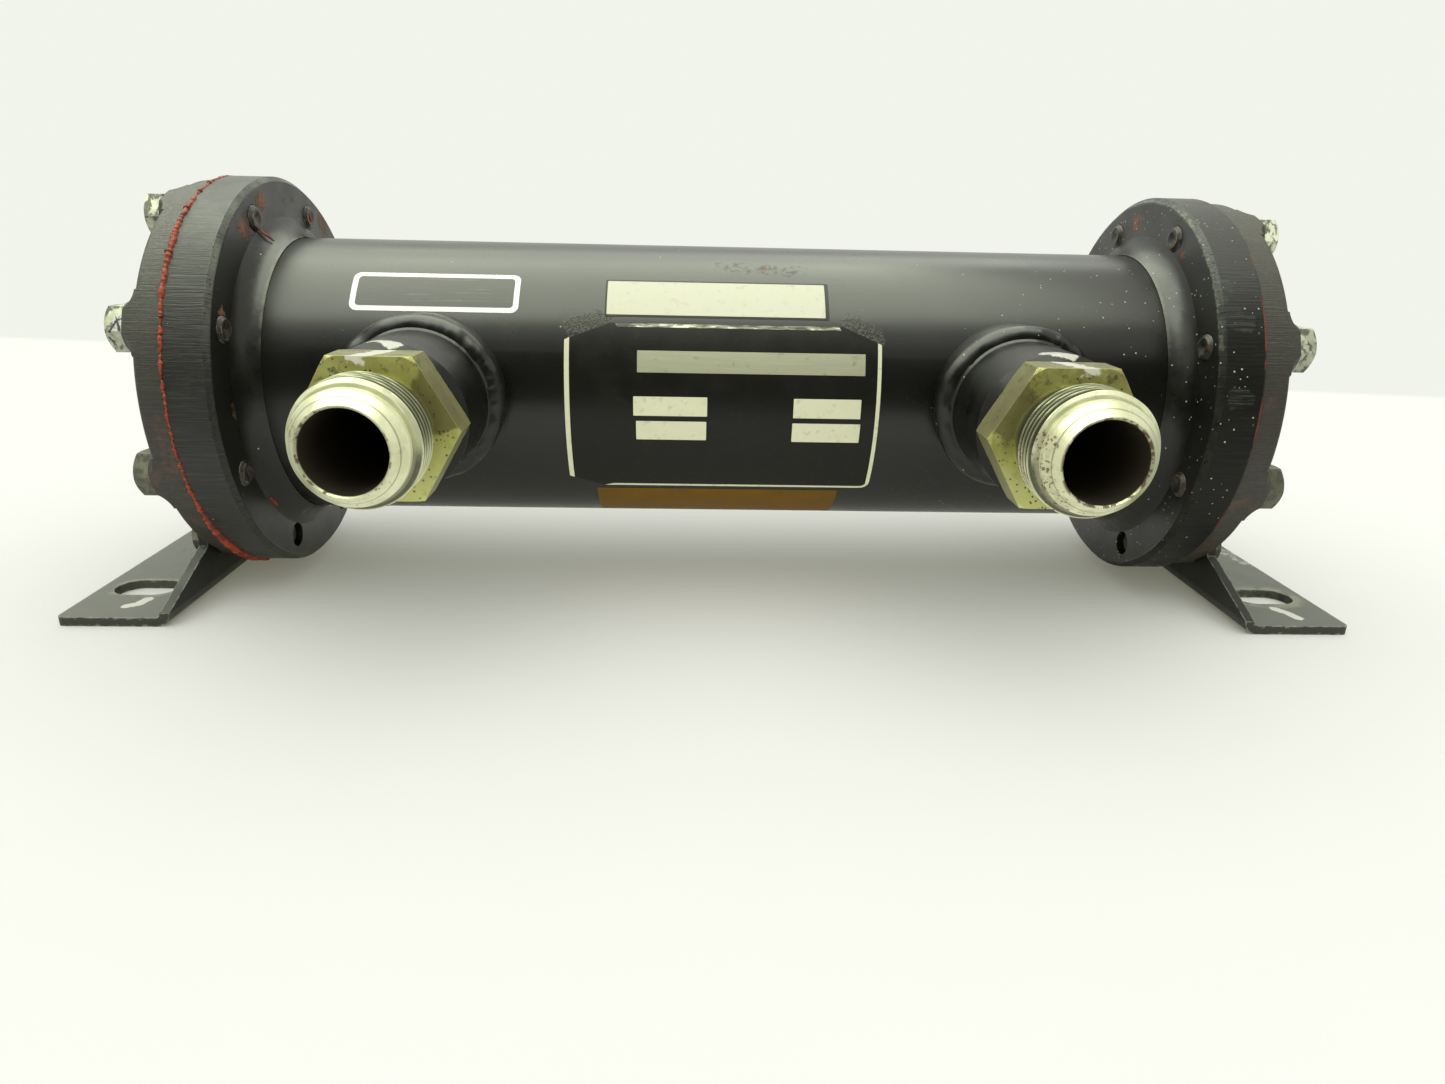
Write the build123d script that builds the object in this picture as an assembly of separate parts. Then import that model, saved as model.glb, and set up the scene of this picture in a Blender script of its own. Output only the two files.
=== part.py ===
"""Shell and tube heat exchanger: a small oil cooler on two bent plate feet.

The shell lies along X, with its axis level above the floor, z = 0. The hose
fittings point along -Y. The origin is on the floor, in the middle of the four
slots of the feet. Sizes are in millimetres.
"""
import math
import os

from build123d import *

# Shell
shell_od = 92.0
shell_wall = 3.0
shell_length = 293.0

# Tube sheets, which are also the shell's end flanges
sheet_thickness = 13.0
sheet_margin = 8.5
sheet_chamfer = 1.5
sheet_weld_leg = 6.3
sheet_weld_hollow = 0.36

# Tubes and baffles
tube_rings = 2
tube_space = 4.9
tube_wall = 0.9
baffle_count = 3
baffle_thickness = 2.0
baffle_cut = 0.25

# Gaskets
gasket_thickness = 0.8
gasket_inset = 0.6

# Cast end covers
cover_rim_inset = 1.5
cover_rim_thickness = 8.4
cover_rim_round = 1.2
cover_wall = 5.0
cover_dome_inset = 9.5
cover_dome_height = 14.0
cover_dome_round = 3.0
cover_crown_ledge = 10.0
cover_crown_round = 6.0
cover_box_round = 4.0
cover_boss_height = 2.7
cover_boss_top = 15.5
cover_boss_flare = 3.6
cover_boss_hollow = 0.32
hub_wall = 6.3
hub_height = 8.0
hub_round = 1.0
water_port_bore = 29.4

# Cover bolts
bolt_ring_offset = 10.5
bolt_count = 8
bolt_size = 8.0
bolt_stick_out = 1.1
bolt_point = 1.0
bolt_dimple_radius = 2.3
bolt_dimple_depth = 0.9
bolt_head_flats = 13.0
bolt_head_height = 5.3
bolt_head_round_share = 0.95

# Oil ports on the side of the shell
port_from_sheet = 55.5
port_rise = 2.0
port_boss_height = 37.0
port_boss_wall = 4.35
port_boss_chamfer = 1.8
port_bore = 27.0
port_weld_leg = 4.4
port_weld_rise = 9.5
port_weld_round = 3.8

# Flare fittings for the oil hoses
fitting_bore = 21.4
fitting_hex_step = 2.4
fitting_hex_thickness = 11.5
fitting_hex_round_share = 1.1
fitting_wall = 5.95
fitting_thread_length = 11.8
fitting_thread_chamfer = 1.0
fitting_relief_depth = 1.75
fitting_relief_width = 5.2
fitting_neck_depth = 2.05
fitting_neck_width = 2.8
fitting_cone_angle = 37.0
fitting_lip = 0.7
fitting_stub_length = 19.0

# Slope at which the corners of the hexagons are turned down to a circle
hex_chamfer_angle = 30.0

# Bent plate feet
foot_inset = 2.2
foot_reach = 35.0
foot_thickness = 3.0
foot_bend = 1.5
foot_web_margin = 8.2
foot_shoulder_drop = 8.5
foot_shoulder_margin = 12.4
foot_side_height = 4.5
foot_corner = 2.0
slot_spacing = 76.0
slot_length = 20.5
slot_width = 12.7
slot_from_edge = 15.0

# Clearances
ground_gap = 4.0
weld_gap = 0.2
thread_gap = 0.2
tube_gap = 0.2
face_gap = 0.3
bolt_gap = 0.5
bundle_gap = 1.45
dome_gap = 2.0

# How far a cutting tool runs past the faces that it cuts
overrun = 1.0

# Radii that follow from the sizes above
shell_radius = shell_od / 2
bore_radius = shell_radius - shell_wall
bolt_ring_radius = shell_radius + bolt_ring_offset
sheet_radius = bolt_ring_radius + sheet_margin
rim_radius = sheet_radius - cover_rim_inset
dome_radius = bolt_ring_radius - cover_dome_inset
water_port_radius = water_port_bore / 2
hub_radius = water_port_radius + hub_wall
thread_radius = fitting_bore / 2 + fitting_wall
port_boss_radius = thread_radius + port_boss_wall

# Rings of tubes fill the shell's bore, with tube_space left between the tubes
tube_radius = (bore_radius - bundle_gap - tube_rings * tube_space) / (2 * tube_rings + 1)
tube_pitch = 2 * tube_radius + tube_space

# Faces along the shell's axis, measured from the middle of the shell
sheet_face = shell_length / 2
joint_face = sheet_face + sheet_thickness
cover_face = joint_face + gasket_thickness
rim_face = cover_face + cover_rim_thickness
boss_face = rim_face + cover_boss_height
bolt_length = boss_face - sheet_face + bolt_stick_out
dome_face = rim_face + cover_dome_height
hub_face = dome_face + hub_height

# Heights above the floor, and the oil ports' place and reach from the axis
axis_height = sheet_radius + ground_gap
port_place = sheet_face - port_from_sheet
port_face = shell_radius + port_boss_height

# Bolts are spaced evenly, with the top of the ring between two of them
bolt_pitch = 360 / bolt_count
bolt_angles = [90 + bolt_pitch * (number + 0.5) for number in range(bolt_count)]
foot_bolt_angles = [270 - bolt_pitch / 2, 270 + bolt_pitch / 2]
foot_bolt_rise = axis_height - bolt_ring_radius * math.cos(math.radians(bolt_pitch / 2))
foot_bolt_side = bolt_ring_radius * math.sin(math.radians(bolt_pitch / 2))

# Frame of the shell's axis: its z runs along +X, its x along +Y and its y is up
axis_frame = Location(Plane(origin=(0, 0, axis_height), x_dir=(0, 1, 0), z_dir=(1, 0, 0)))


def between(radius, low, high):
    """A round bar about the local z axis, from low to high."""
    return Pos(0, 0, (low + high) / 2) * Cylinder(radius, high - low)


def turned(points, rounds=()):
    """Turn a profile of (radius, height) points about the local z axis."""
    face = make_face(Polyline(*points, close=True))
    for corner, radius in rounds:
        vertex = face.vertices().sort_by_distance(Vector(corner[0], corner[1], 0))[0]
        face = fillet(vertex, radius)
    return revolve(Plane.XZ * face, Axis.Z)


def on_circle(piece, radius, angles):
    """Copies of a piece round the local z axis, none of them turned."""
    return [Rot(0, 0, angle) * Pos(radius, 0, 0) * Rot(0, 0, -angle) * piece for angle in angles]


def hexagon(flats, low, high, round_share, chamfers):
    """A hexagonal bar, flats square to the local y axis, with its listed ends chamfered."""
    bar = Pos(0, 0, low) * extrude(RegularPolygon(flats / math.sqrt(3), 6), high - low)
    circle = flats * round_share / 2
    slope = (flats - circle) * math.tan(math.radians(hex_chamfer_angle))
    points = [(0, low)]
    points += [(circle, low), (flats, low + slope)] if "low" in chamfers else [(flats, low)]
    points += [(flats, high - slope), (circle, high)] if "high" in chamfers else [(flats, high)]
    points += [(0, high)]
    return bar & turned(points)


def tube_places():
    """Centres of the tubes, on a triangular grid of rings round one tube."""
    places = []
    for row in range(-tube_rings, tube_rings + 1):
        columns = 2 * tube_rings + 1 - abs(row)
        for column in range(columns):
            across = (column - (columns - 1) / 2) * tube_pitch
            places.append((across, row * tube_pitch * math.sin(math.radians(60))))
    return places


def port_frame(side):
    """Frame of an oil port: its z points out of the shell along -Y, its y is up."""
    origin = (side * port_place, 0, axis_height + port_rise)
    return Location(Plane(origin=origin, x_dir=(1, 0, 0), z_dir=(0, -1, 0)))


def shell_cylinder(radius):
    """A long bar about the shell's axis, for saddle cuts."""
    return axis_frame * between(radius, -sheet_face, sheet_face)


def make_shell():
    """Plain tube with a round hole under each oil port."""
    tube = shell_cylinder(shell_radius) - shell_cylinder(bore_radius)
    for side in (-1, 1):
        tube -= port_frame(side) * between(port_bore / 2, 0, shell_od)
    return tube


def make_tube_sheet():
    """Thick round plate with the tube holes and a ring of tapped holes."""
    plate = turned([
        (0, sheet_face), (sheet_radius - sheet_chamfer, sheet_face),
        (sheet_radius, sheet_face + sheet_chamfer), (sheet_radius, joint_face), (0, joint_face),
    ])
    tapped = between(bolt_size / 2 + thread_gap, sheet_face - overrun, joint_face + overrun)
    plate -= on_circle(tapped, bolt_ring_radius, bolt_angles)
    tube_hole = between(tube_radius + tube_gap, sheet_face - overrun, joint_face + overrun)
    plate -= [Pos(x, y, 0) * tube_hole for x, y in tube_places()]
    return axis_frame * plate


def make_sheet_weld():
    """Concave fillet weld in the corner between the shell and the tube sheet."""
    inner = shell_radius + weld_gap
    outer = inner + sheet_weld_leg
    start = sheet_face - sheet_weld_leg
    hollow = sheet_weld_leg * sheet_weld_hollow
    line = Line((inner, start), (inner, sheet_face)) + Line((inner, sheet_face), (outer, sheet_face))
    line += ThreePointArc((outer, sheet_face), (inner + hollow, sheet_face - hollow), (inner, start))
    return axis_frame * revolve(Plane.XZ * make_face(line), Axis.Z)


def make_tube_bundle():
    """All the tubes side by side, flush with the outer faces of both tube sheets."""
    tube = between(tube_radius, -joint_face, joint_face)
    tube -= between(tube_radius - tube_wall, -joint_face, joint_face)
    return Compound(children=[axis_frame * Pos(x, y, 0) * tube for x, y in tube_places()])


def make_baffle(number):
    """Plate round the tubes, cut off at the top or at the bottom by turns."""
    place = (number - (baffle_count - 1) / 2) * 2 * port_place / baffle_count
    radius = bore_radius - weld_gap
    low = place - baffle_thickness / 2
    high = place + baffle_thickness / 2
    plate = between(radius, low, high)
    hole = between(tube_radius + tube_gap, low - overrun, high + overrun)
    plate -= [Pos(x, y, 0) * hole for x, y in tube_places()]
    window = 2 * radius * baffle_cut
    up = 1 if number % 2 == 0 else -1
    cut = Pos(0, up * (radius - window / 2), place) * Box(2 * radius, window, baffle_thickness + overrun)
    return axis_frame * (plate - cut)


def make_gasket():
    """Flat ring between the tube sheet and the cover, with the bolt holes."""
    ring = between(sheet_radius - gasket_inset, joint_face, cover_face)
    ring -= between(bore_radius, joint_face, cover_face)
    hole = between(bolt_size / 2 + bolt_gap, joint_face - overrun, cover_face + overrun)
    ring -= on_circle(hole, bolt_ring_radius, bolt_angles)
    return axis_frame * ring


def make_cover_boss():
    """Seat for a bolt head, with a concave flank that runs out into the rim."""
    top = cover_boss_top / 2
    foot = top + cover_boss_flare
    middle = (top + cover_boss_flare * cover_boss_hollow, rim_face + cover_boss_height * cover_boss_hollow)
    line = Polyline((top, boss_face), (0, boss_face), (0, cover_face), (foot, cover_face), (foot, rim_face))
    line += ThreePointArc((foot, rim_face), middle, (top, boss_face))
    return revolve(Plane.XZ * make_face(line), Axis.Z)


def make_cover():
    """Cast cover: a rim with flared bolt bosses, a domed water box and a tapped hub."""
    crown = hub_radius + cover_crown_ledge
    body = turned([
        (0, cover_face), (rim_radius, cover_face), (rim_radius, rim_face), (dome_radius, rim_face),
        (crown, dome_face), (hub_radius, dome_face), (hub_radius, hub_face), (0, hub_face),
    ], [
        ((rim_radius, rim_face), cover_rim_round), ((dome_radius, rim_face), cover_dome_round),
        ((crown, dome_face), cover_crown_round), ((hub_radius, hub_face), hub_round),
    ])
    bosses = on_circle(make_cover_boss(), bolt_ring_radius, bolt_angles)
    body += [boss & between(rim_radius, cover_face, boss_face) for boss in bosses]
    foot = (dome_radius - cover_wall, rim_face - cover_wall / 2)
    roof = (crown - cover_wall / 2, dome_face - cover_wall)
    body -= turned([
        (0, cover_face - overrun), (foot[0], cover_face - overrun), foot, roof, (0, roof[1]),
    ], [
        (foot, cover_box_round), (roof, cover_box_round),
    ])
    body -= between(water_port_radius, cover_face, hub_face + overrun)
    hole = between(bolt_size / 2 + bolt_gap, cover_face - overrun, boss_face + overrun)
    body -= on_circle(hole, bolt_ring_radius, bolt_angles)
    return axis_frame * body


def make_bolt(angle, seat):
    """Hex head bolt whose head bears on a face at height seat, with a dimple in its tip."""
    tip = seat - bolt_length
    shank = bolt_size / 2
    bolt = hexagon(bolt_head_flats, seat, seat + bolt_head_height, bolt_head_round_share, ["high"])
    bolt += turned([
        (0, tip + bolt_dimple_depth), (bolt_dimple_radius, tip), (shank - bolt_point, tip),
        (shank, tip + bolt_point), (shank, seat), (0, seat),
    ])
    return axis_frame * on_circle(bolt, bolt_ring_radius, [angle])[0]


def make_port_boss(side):
    """Round boss, saddle cut to the shell and bored for the hose fitting."""
    boss = turned([
        (0, 0), (port_boss_radius, 0), (port_boss_radius, port_face - port_boss_chamfer),
        (port_boss_radius - port_boss_chamfer, port_face), (0, port_face),
    ])
    socket_floor = port_face - fitting_stub_length - face_gap
    boss -= between(thread_radius + thread_gap, socket_floor, port_face + overrun)
    boss -= between(port_bore / 2, -overrun, port_face)
    return port_frame(side) * boss - shell_cylinder(shell_radius + weld_gap)


def make_port_weld(side):
    """Heavy weld collar with a round rim, which fills the saddle round the boss to one level."""
    inner = port_boss_radius + weld_gap
    outer = inner + port_weld_leg
    top = shell_radius + port_weld_rise
    collar = turned([(inner, 0), (outer, 0), (outer, top), (inner, top)], [((outer, top), port_weld_round)])
    return port_frame(side) * collar - shell_cylinder(shell_radius + weld_gap)


def make_hose_fitting(side):
    """Flare fitting: stub, hexagon, thread and a coned nose round one straight bore."""
    low = port_face + face_gap
    hex_top = low + fitting_hex_thickness
    relief = thread_radius - fitting_relief_depth
    neck = thread_radius - fitting_neck_depth
    tip = fitting_bore / 2 + fitting_lip
    thread_low = hex_top + fitting_relief_width
    thread_top = thread_low + fitting_thread_length
    neck_top = thread_top + fitting_neck_width
    tip_top = neck_top + (neck - tip) / math.tan(math.radians(fitting_cone_angle))
    flats = 2 * (thread_radius + fitting_hex_step)
    body = hexagon(flats, low, hex_top, fitting_hex_round_share, ["low", "high"])
    body += between(thread_radius, low - fitting_stub_length, low)
    body += turned([
        (0, hex_top), (relief, hex_top), (relief, thread_low), (thread_radius, thread_low),
        (thread_radius, thread_top - fitting_thread_chamfer),
        (thread_radius - fitting_thread_chamfer, thread_top),
        (neck, thread_top), (neck, neck_top), (tip, tip_top), (0, tip_top),
    ])
    body -= between(fitting_bore / 2, low - fitting_stub_length - overrun, tip_top + overrun)
    return port_frame(side) * body


def make_foot():
    """Bent plate: a slotted foot on the floor and a web under two bolt heads."""
    inner = boss_face
    web = inner + foot_thickness
    outer = inner + foot_reach
    top = foot_bolt_rise + foot_web_margin
    profile = make_face(Polyline(
        (inner, 0), (outer, 0), (outer, foot_thickness), (web, foot_thickness), (web, top), (inner, top),
        close=True))
    for corner, radius in (((web, foot_thickness), foot_bend), ((inner, 0), foot_bend + foot_thickness)):
        vertex = profile.vertices().sort_by_distance(Vector(corner[0], corner[1], 0))[0]
        profile = fillet(vertex, radius)
    half = sheet_radius - foot_inset
    foot = extrude(Plane.XZ * profile, half, both=True)
    shoulder = foot_bolt_side + foot_shoulder_margin
    shoulder_rise = top - foot_shoulder_drop
    outline = make_face(Polyline(
        (-half, 0), (half, 0), (half, foot_side_height), (shoulder, shoulder_rise), (shoulder, top),
        (-shoulder, top), (-shoulder, shoulder_rise), (-half, foot_side_height), close=True))
    foot &= extrude(Plane.YZ.offset(inner - overrun) * outline, foot_reach + 2 * overrun)
    foot = fillet(foot.edges().filter_by(Axis.Z).group_by(Axis.X)[-1], foot_corner)
    foot -= axis_frame * between(dome_radius + dome_gap, inner - overrun, web + overrun)
    hole = between(bolt_size / 2 + bolt_gap, inner - overrun, web + overrun)
    foot -= [axis_frame * piece for piece in on_circle(hole, bolt_ring_radius, foot_bolt_angles)]
    slot = Pos(0, 0, -overrun) * extrude(SlotOverall(slot_length, slot_width), foot_thickness + 2 * overrun)
    for y in (-slot_spacing / 2, slot_spacing / 2):
        foot -= Pos(outer - slot_from_edge, y, 0) * slot
    return foot


def make_nodes():
    """Every piece by name; pieces at the left end mirror those at the right."""
    nodes = {"shell": make_shell(), "tube_bundle": make_tube_bundle()}
    for number in range(baffle_count):
        nodes[f"baffle_{number + 1}"] = make_baffle(number)
    right_end = {
        "tube_sheet": make_tube_sheet(),
        "sheet_weld": make_sheet_weld(),
        "gasket": make_gasket(),
        "cover": make_cover(),
        "foot": make_foot(),
    }
    for number, angle in enumerate(bolt_angles):
        seat = boss_face + foot_thickness if angle in foot_bolt_angles else boss_face
        right_end[f"cover_bolt_{number + 1}"] = make_bolt(angle, seat)
    for name, piece in right_end.items():
        nodes[f"right_{name}"] = piece
        nodes[f"left_{name}"] = mirror(piece, about=Plane.YZ)
    for side, name in ((-1, "left"), (1, "right")):
        nodes[f"{name}_port_boss"] = make_port_boss(side)
        nodes[f"{name}_port_weld"] = make_port_weld(side)
        nodes[f"{name}_hose_fitting"] = make_hose_fitting(side)
    return nodes


os.makedirs("parts", exist_ok=True)
for node_name, node_piece in make_nodes().items():
    export_step(node_piece, f"parts/{node_name}.step")
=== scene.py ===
"""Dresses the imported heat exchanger: threads, weld beads, sealant, labels, paint and wear.

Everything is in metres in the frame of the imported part: X along the shell, Z up, the hose
fittings pointing along -Y, and the floor at z = 0.
"""

import math

import bmesh
import bpy
from mathutils import Matrix, Vector, noise


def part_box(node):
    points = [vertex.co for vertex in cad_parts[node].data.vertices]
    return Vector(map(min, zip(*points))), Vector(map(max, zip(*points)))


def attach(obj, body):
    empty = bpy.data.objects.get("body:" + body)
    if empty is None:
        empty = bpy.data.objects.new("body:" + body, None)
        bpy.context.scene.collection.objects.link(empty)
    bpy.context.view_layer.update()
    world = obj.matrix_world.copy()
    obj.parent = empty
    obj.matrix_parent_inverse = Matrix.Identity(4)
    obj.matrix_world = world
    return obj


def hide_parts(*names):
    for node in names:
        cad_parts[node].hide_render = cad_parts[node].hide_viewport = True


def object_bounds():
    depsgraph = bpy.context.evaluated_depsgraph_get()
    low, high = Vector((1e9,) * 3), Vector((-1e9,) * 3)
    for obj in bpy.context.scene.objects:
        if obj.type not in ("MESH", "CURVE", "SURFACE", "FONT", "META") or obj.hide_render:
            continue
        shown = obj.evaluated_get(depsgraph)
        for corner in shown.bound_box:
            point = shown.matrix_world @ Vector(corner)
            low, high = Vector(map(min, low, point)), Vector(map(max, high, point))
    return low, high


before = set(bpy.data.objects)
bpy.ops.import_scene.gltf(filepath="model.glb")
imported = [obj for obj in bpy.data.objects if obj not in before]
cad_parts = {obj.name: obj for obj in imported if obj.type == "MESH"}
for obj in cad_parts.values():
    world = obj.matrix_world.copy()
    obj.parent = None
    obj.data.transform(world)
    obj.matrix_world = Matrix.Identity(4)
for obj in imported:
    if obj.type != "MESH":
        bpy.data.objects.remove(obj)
cad_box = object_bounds()
MM = 0.001

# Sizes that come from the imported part
shell_low, shell_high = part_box("shell")
sheet_low, sheet_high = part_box("right_tube_sheet")
cover_low, cover_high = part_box("right_cover")
boss_low, boss_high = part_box("right_port_boss")
weld_low, weld_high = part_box("right_port_weld")
fitting_low, fitting_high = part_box("right_hose_fitting")
foot_low, foot_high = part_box("right_foot")
SHELL_RADIUS = (shell_high.z - shell_low.z) / 2
AXIS_HEIGHT = (shell_high.z + shell_low.z) / 2
SHEET_RADIUS = (sheet_high.z - sheet_low.z) / 2
SHEET_FACE = sheet_low.x
JOINT_FACE = sheet_high.x
COVER_FACE = cover_low.x
RIM_RADIUS = (cover_high.z - cover_low.z) / 2
PORT_X = (boss_low.x + boss_high.x) / 2
PORT_Z = (boss_low.z + boss_high.z) / 2
PORT_BOSS_RADIUS = (boss_high.x - boss_low.x) / 2
PORT_FACE = -boss_low.y
WELD_RADIUS = (weld_high.x - weld_low.x) / 2
WELD_LEVEL = -weld_low.y
SHEET_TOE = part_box("right_sheet_weld")[0].x
HEX_FLATS = fitting_high.z - fitting_low.z
FITTING_TIP = -fitting_low.y
FITTING_END = -fitting_high.y

# Round rim of the weld collars, how far they narrow towards the shell and sink into it
WELD_ROUND = 3.8 * MM
WELD_TAPER = 0.9 * MM
WELD_SINK = 0.3 * MM
WELD_STEPS = 240

# Foot plate, the middle of a slot on its top and the slot's half sizes in millimetres
FOOT_THICKNESS = 3.0 * MM
SLOT_PLACE = Vector((191.4, 38.0, 3.0)) * MM
SLOT_HALF = (10.25, 6.35)

# Hose fitting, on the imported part's outline
HEX_LOW = PORT_FACE + 0.3 * MM
HEX_THICKNESS = 11.5 * MM
HEX_CHAMFER_RADIUS = 0.55 * HEX_FLATS
HEX_CHAMFER_STEPS = 4
HEX_CHAMFER_ANGLE = 30
RELIEF_RADIUS = 14.9 * MM
RELIEF_WIDTH = 5.2 * MM
THREAD_RADIUS = 16.65 * MM
THREAD_DEPTH = 1.35 * MM
THREAD_PITCH = 2.117 * MM
THREAD_LENGTH = 11.8 * MM
NECK_RADIUS = 14.6 * MM
TIP_RADIUS = 11.4 * MM
NOSE_ANGLE = 37
BORE_RADIUS = 10.7 * MM
BORE_CHAMFER = 0.5 * MM
NECK_END = HEX_LOW + HEX_THICKNESS + RELIEF_WIDTH + THREAD_LENGTH
RING_RADIUS = 13.0 * MM
FITTING_STEPS = 144
THREAD_ROWS = 80

# Labels on the shell: x and thickness in millimetres, angle in degrees above the hose fittings' side
PLATE_SIDES = (-48.7, 49.6)
PLATE_TOP = 31.6
PLATE_BOTTOM = -38.0
PLATE_CLIP = (14.0, 7.0)
PLATE_LINE = 1.5
PLATE_CORNER = 3.0
PLATE_THICKNESS = 0.25
PLATE_LIFT = 0.27
PLATE_FIELDS = (
    (-26.3, 44.5, 20.9, 12.6),
    (-27.5, -4.5, 3.5, -4.0),
    (22.5, 43.7, 3.5, -4.1),
    (-26.7, -4.7, -6.1, -13.8),
    (22.4, 43.9, -6.2, -14.0),
)
CREAM_LABEL = (-36.0, 32.2, 51.2, 35.3)
CREAM_BACKING = (-36.6, 33.4, 52.0, 34.4)
INLET_LABEL = (-114.9, -63.2, 53.4, 35.0)
INLET_LINE = 1.7
WARNING_STRIP = (-40.3, 39.7, -40.5, -66.0)
FILM = 0.08

# Stage: the slanting lines where the pale floor meets the wall tone and a dark mat in front, and
# a dark card behind the mat
WALL = (0.885, 0.905, 0.83)
FLOOR_GLOW = (0.115, 0.115, 0.082)
FLOOR_END = 0.476
FLOOR_END_SLOPE = -0.157
FLOOR_FADE = 0.012
FLOOR_HALF = 3.0
MAT_END = -0.33
MAT_END_SLOPE = 0.17
CARD_PLACE = -1.5
CARD_HEIGHT = 1.2

# Light: even fill, and panels with their place, size, level and colour
FILL_LEVEL = 0.87
FILL_COLOUR = (0.99, 1.0, 0.84)
LIGHT_PANEL = ((0, 0, 1.5), (3.0, 2.6), 0.34, (1.0, 1.0, 1.0))
SHINE_PANEL = ((-0.457, 0.004, 1.48), (2.18, 1.85), 4.6, (0.94, 1.0, 0.8))
BACK_PANEL = ((-0.45, 1.354, 1.48), (3.0, 0.9), 2.0, (0.94, 1.0, 0.84))
PANEL_TURN = 11.1

# Camera, found by fitting the part's outlines to the photograph
CAMERA_PLACE = Vector((-9.72, -333.0, 126.05)) * MM
CAMERA_YAW = 0.03825
CAMERA_PITCH = 0.34089
CAMERA_ROLL = 0.02321
CAMERA_LENS = 23.13
SENSOR_WIDTH = 36.0

PHOTO_WIDTH = 1445
PHOTO_HEIGHT = 1084

# Marks on the inner faces of the tube sheets, as photo pixels and a radius in millimetres
LEFT_RUST = ((260, 202, 3.6), (245, 227, 4.0), (306, 189, 3.0), (323, 222, 5.0), (222, 314, 2.2),
             (236, 410, 2.6), (272, 498, 3.0), (300, 536, 2.2), (283, 200, 1.0), (292, 199, 1.3))
RIGHT_RUST = ((1135, 224, 3.6), (1120, 236, 3.0), (1173, 247, 3.0), (1183, 256, 1.6),
              (1125, 545, 2.2), (1180, 490, 1.6))
LEFT_ORANGE = ((262, 200, 2.6), (242, 229, 3.0), (306, 189, 2.0), (222, 313, 1.6), (272, 497, 1.4))
# Places on the right sheet's rim, as photo pixels, of rubbed patches whose shine is painted in as a pale
# reflection
RIGHT_RUBBED_SHEEN = ((1222, 290), (1238, 318), (1240, 398))
RIGHT_ORANGE = ((1137, 223, 3.0), (1119, 233, 2.2), (1183, 255, 1.0))

# Rust haze on the left cover's rim, as photo pixels
COVER_HAZE = ((161, 424), (167, 447), (174, 472))

# The sealant bead: steps round the joint and round the bead, and where it is thick, in degrees
SEALANT_STEPS = 1440
SEALANT_SECTION = 10
SEALANT_LOW = 308
SEALANT_HIGH = 42

# Loose ends of sealant on the left tube sheet: photo pixels, each with its height off the face
# in millimetres, and a half width in millimetres
SEALANT_ENDS = (
    (((259, 229, 0.4), (263, 233, 1.0), (268, 236, 2.0), (274, 241, 3.2)), 0.42),
    (((306, 208, 0.4), (308, 214, 0.4), (310, 220, 0.4), (312, 227, 0.4)), 0.75),
    (((270, 497, 0.3), (273, 500, 0.3), (277, 505, 0.3)), 0.6),
)

# Paint, glue and ink marks, as photo pixels, and specks on the fittings, each with the depth in
# millimetres at which it lies
LEFT_FOOT_MARK = ((127, 606), (138, 604), (148, 599))
RIGHT_FOOT_MARK = ((1275, 609), (1287, 613), (1298, 618))
RIGHT_FOOT_MIST = ((1219, 551), (1232, 555), (1246, 563))
SHELL_SCUFF = ((722, 266), (798, 272))
SHELL_SPOT = (765, 271)
GLUE_MARKS = ((576, 327), (590, 324), (601, 321), (853, 327), (864, 333), (873, 339))
LEFT_FITTING_SPECKS = (((412, 440), 104), ((408, 458), 104), ((284, 430), 118))
RIGHT_FITTING_SPECKS = (((1045, 442), 114), ((1043, 462), 114), ((1047, 482), 114),
                        ((1026, 455), 105), ((1028, 478), 105), ((1062, 500), 114), ((1052, 520), 114))
INK_STROKES = (((108, 312), (119, 330)), ((118, 310), (109, 332)), ((107, 338), (114, 350)),
               ((120, 318), (112, 322)))

# Colours that several materials share
PAINT_WHITE = (0.9, 0.9, 0.84)
DUST = (0.5, 0.51, 0.45)
RUST = (0.2, 0.08, 0.036)
ORANGE = (0.27, 0.1, 0.042)

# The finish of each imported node, by the first text that its name holds
NODE_FINISHES = (
    ("left_tube_sheet", "left_sheet"), ("right_tube_sheet", "right_sheet"), ("cover_bolt", "bolt"),
    ("_cover", "cover"), ("_foot", "foot"), ("gasket", "gasket"), ("port_boss", "boss"), ("weld", "weld"),
    ("tube_bundle", "copper"), ("baffle", "brass"), ("", "shell"),
)


class Tree:
    """The material being made: its nodes, and the colour and the relief laid so far."""

    def __init__(self, name):
        self.material = bpy.data.materials.new(name)
        self.material.use_nodes = True
        self.nodes = self.material.node_tree.nodes
        self.links = self.material.node_tree.links
        self.shader = self.nodes["Principled BSDF"]
        self.place = self.nodes.new("ShaderNodeTexCoord").outputs["Object"]
        self.colour = None
        self.height = None


def begin(name):
    """Start a new material; the calls below add to it, with sizes in mm and places in metres."""
    global tree
    tree = Tree(name)


def put(socket, value):
    """Link another node's output, or set a number, a point or a colour."""
    if isinstance(value, bpy.types.NodeSocket):
        tree.links.new(value, socket)
    elif socket.type == "RGBA":
        socket.default_value = (*value, 1)
    else:
        socket.default_value = value


def calc(operation, first, second=0.0, clamp=False):
    node = tree.nodes.new("ShaderNodeMath")
    node.operation = operation
    node.use_clamp = clamp
    put(node.inputs[0], first)
    put(node.inputs[1], second)
    return node.outputs[0]


def plus(first, *others):
    for other in others:
        first = calc("ADD", first, other)
    return first


def minus(first, second):
    return calc("SUBTRACT", first, second)


def times(first, *others):
    for other in others:
        first = calc("MULTIPLY", first, other)
    return first


def most(first, *others):
    for other in others:
        first = calc("MAXIMUM", first, other)
    return first


def invert(mask):
    return minus(1.0, mask)


def vector(operation, first, second, output=0):
    node = tree.nodes.new("ShaderNodeVectorMath")
    node.operation = operation
    put(node.inputs[0], first)
    put(node.inputs[3] if operation == "SCALE" else node.inputs[1], second)
    return node.outputs[output]


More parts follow.
